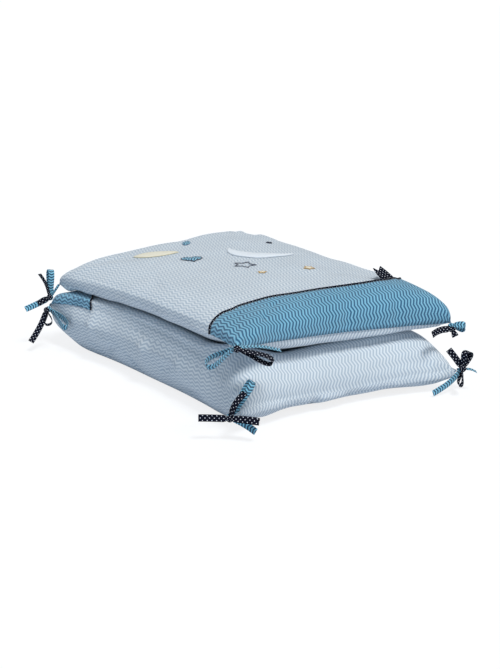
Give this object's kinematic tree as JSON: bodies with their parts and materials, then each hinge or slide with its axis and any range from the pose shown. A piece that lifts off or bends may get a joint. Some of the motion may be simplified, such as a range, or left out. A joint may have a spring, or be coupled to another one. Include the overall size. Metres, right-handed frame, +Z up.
{
  "type": "crib bumper of two padded panels with corner ties",
  "caption": "Crib bumper of two padded cloth panels stacked one on the other, with a wave-edged blue end panel, dotted piping and ribbon bows at the corners.",
  "frame": {"origin": "centre of the stack's bounding box in plan, on the surface that the lower pad rests on", "axes": "+Z up; +X along the pads' short side, from the left side to the right one; +Y along their long side, away from the end with the upper pad's blue panel"},
  "size_m": [0.4976, 0.6628, 0.1863],
  "materials": {
    "light_zigzag_cloth": "soft sateen, pale grey-blue zigzag print",
    "blue_zigzag_cloth": "soft sateen, two-tone blue zigzag print",
    "navy_dotted_cloth": "matt, small white dots",
    "blue_ribbon": "matt, two-tone blue zigzag print",
    "navy_ribbon": "matt, small white dots"
  },
  "bodies": {
    "root": {"pad_lower": "light_zigzag_cloth", "pad_upper": "light_zigzag_cloth", "wave_panel_lower": "blue_zigzag_cloth", "wave_panel_upper": "blue_zigzag_cloth", "piping_lower": "navy_dotted_cloth", "piping_upper": "navy_dotted_cloth", "dotted_tab": "navy_dotted_cloth", "tie_blue_upper_front": "blue_ribbon", "tie_navy_upper_front": "navy_ribbon", "tie_blue_upper_right": "blue_ribbon", "tie_navy_upper_right": "navy_ribbon", "tie_blue_upper_back": "blue_ribbon", "tie_navy_upper_back": "navy_ribbon", "tie_blue_upper_left": "blue_ribbon", "tie_navy_upper_left": "navy_ribbon", "tie_blue_lower_front": "blue_ribbon", "tie_navy_lower_front": "navy_ribbon", "tie_blue_lower_right": "blue_ribbon", "tie_navy_lower_right": "navy_ribbon", "tie_blue_lower_back": "blue_ribbon", "tie_navy_lower_back": "navy_ribbon", "tie_blue_lower_left": "blue_ribbon", "tie_navy_lower_left": "navy_ribbon"}
  },
  "joints": []
}
